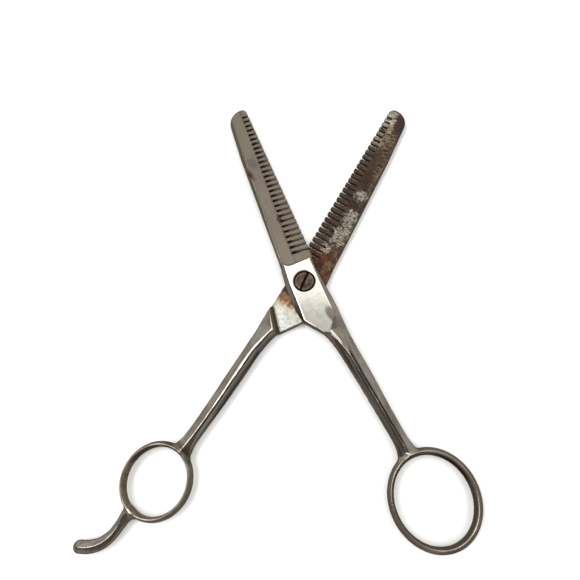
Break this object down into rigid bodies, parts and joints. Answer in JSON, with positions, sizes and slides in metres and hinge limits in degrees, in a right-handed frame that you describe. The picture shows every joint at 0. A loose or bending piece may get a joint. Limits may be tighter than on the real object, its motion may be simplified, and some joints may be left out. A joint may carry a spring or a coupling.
{
  "type": "thinning shears",
  "caption": "Forged thinning shears lying open: toothed blades on a slotted pivot screw, oval finger bows and a fixed curved tang.",
  "frame": {"origin": "on the pivot screw's axis, in the plane the shears lie on, which is the back face of the finger half and the flush end of the screw", "axes": "+Z out of the resting plane along the pivot axis, towards the screw's head; +Y from the pivot towards the blade tips, between the two open blades; +X to the right seen from the head side"},
  "size_m": [0.1198, 0.1561, 0.0057],
  "materials": {
    "plated_steel": "worn nickel plate, polished on the ricasso and dull in the milled comb zone, with small rust spots",
    "rusted_steel": "dark brown rust over the inner face of the blade, with flaked silvery remains of the plating",
    "screw_steel": "dark tarnished brown with a paler rim"
  },
  "bodies": {
    "finger_half": {"finger_half": "rusted_steel"},
    "thumb_half": {"thumb_half": "plated_steel"},
    "pivot_screw": {"pivot_screw": "screw_steel"}
  },
  "joints": [
    {"name": "blade_pivot", "type": "hinge", "parent": "finger_half", "child": "thumb_half", "pos_m": [0, 0, 0.00275], "axis": [0, 0, 1], "range_deg": [-46, 73]},
    {"name": "tension_screw", "type": "hinge", "parent": "finger_half", "child": "pivot_screw", "pos_m": [0, 0, 0.00275], "axis": [0, 0, 1], "range_deg": [-90, 90]}
  ]
}
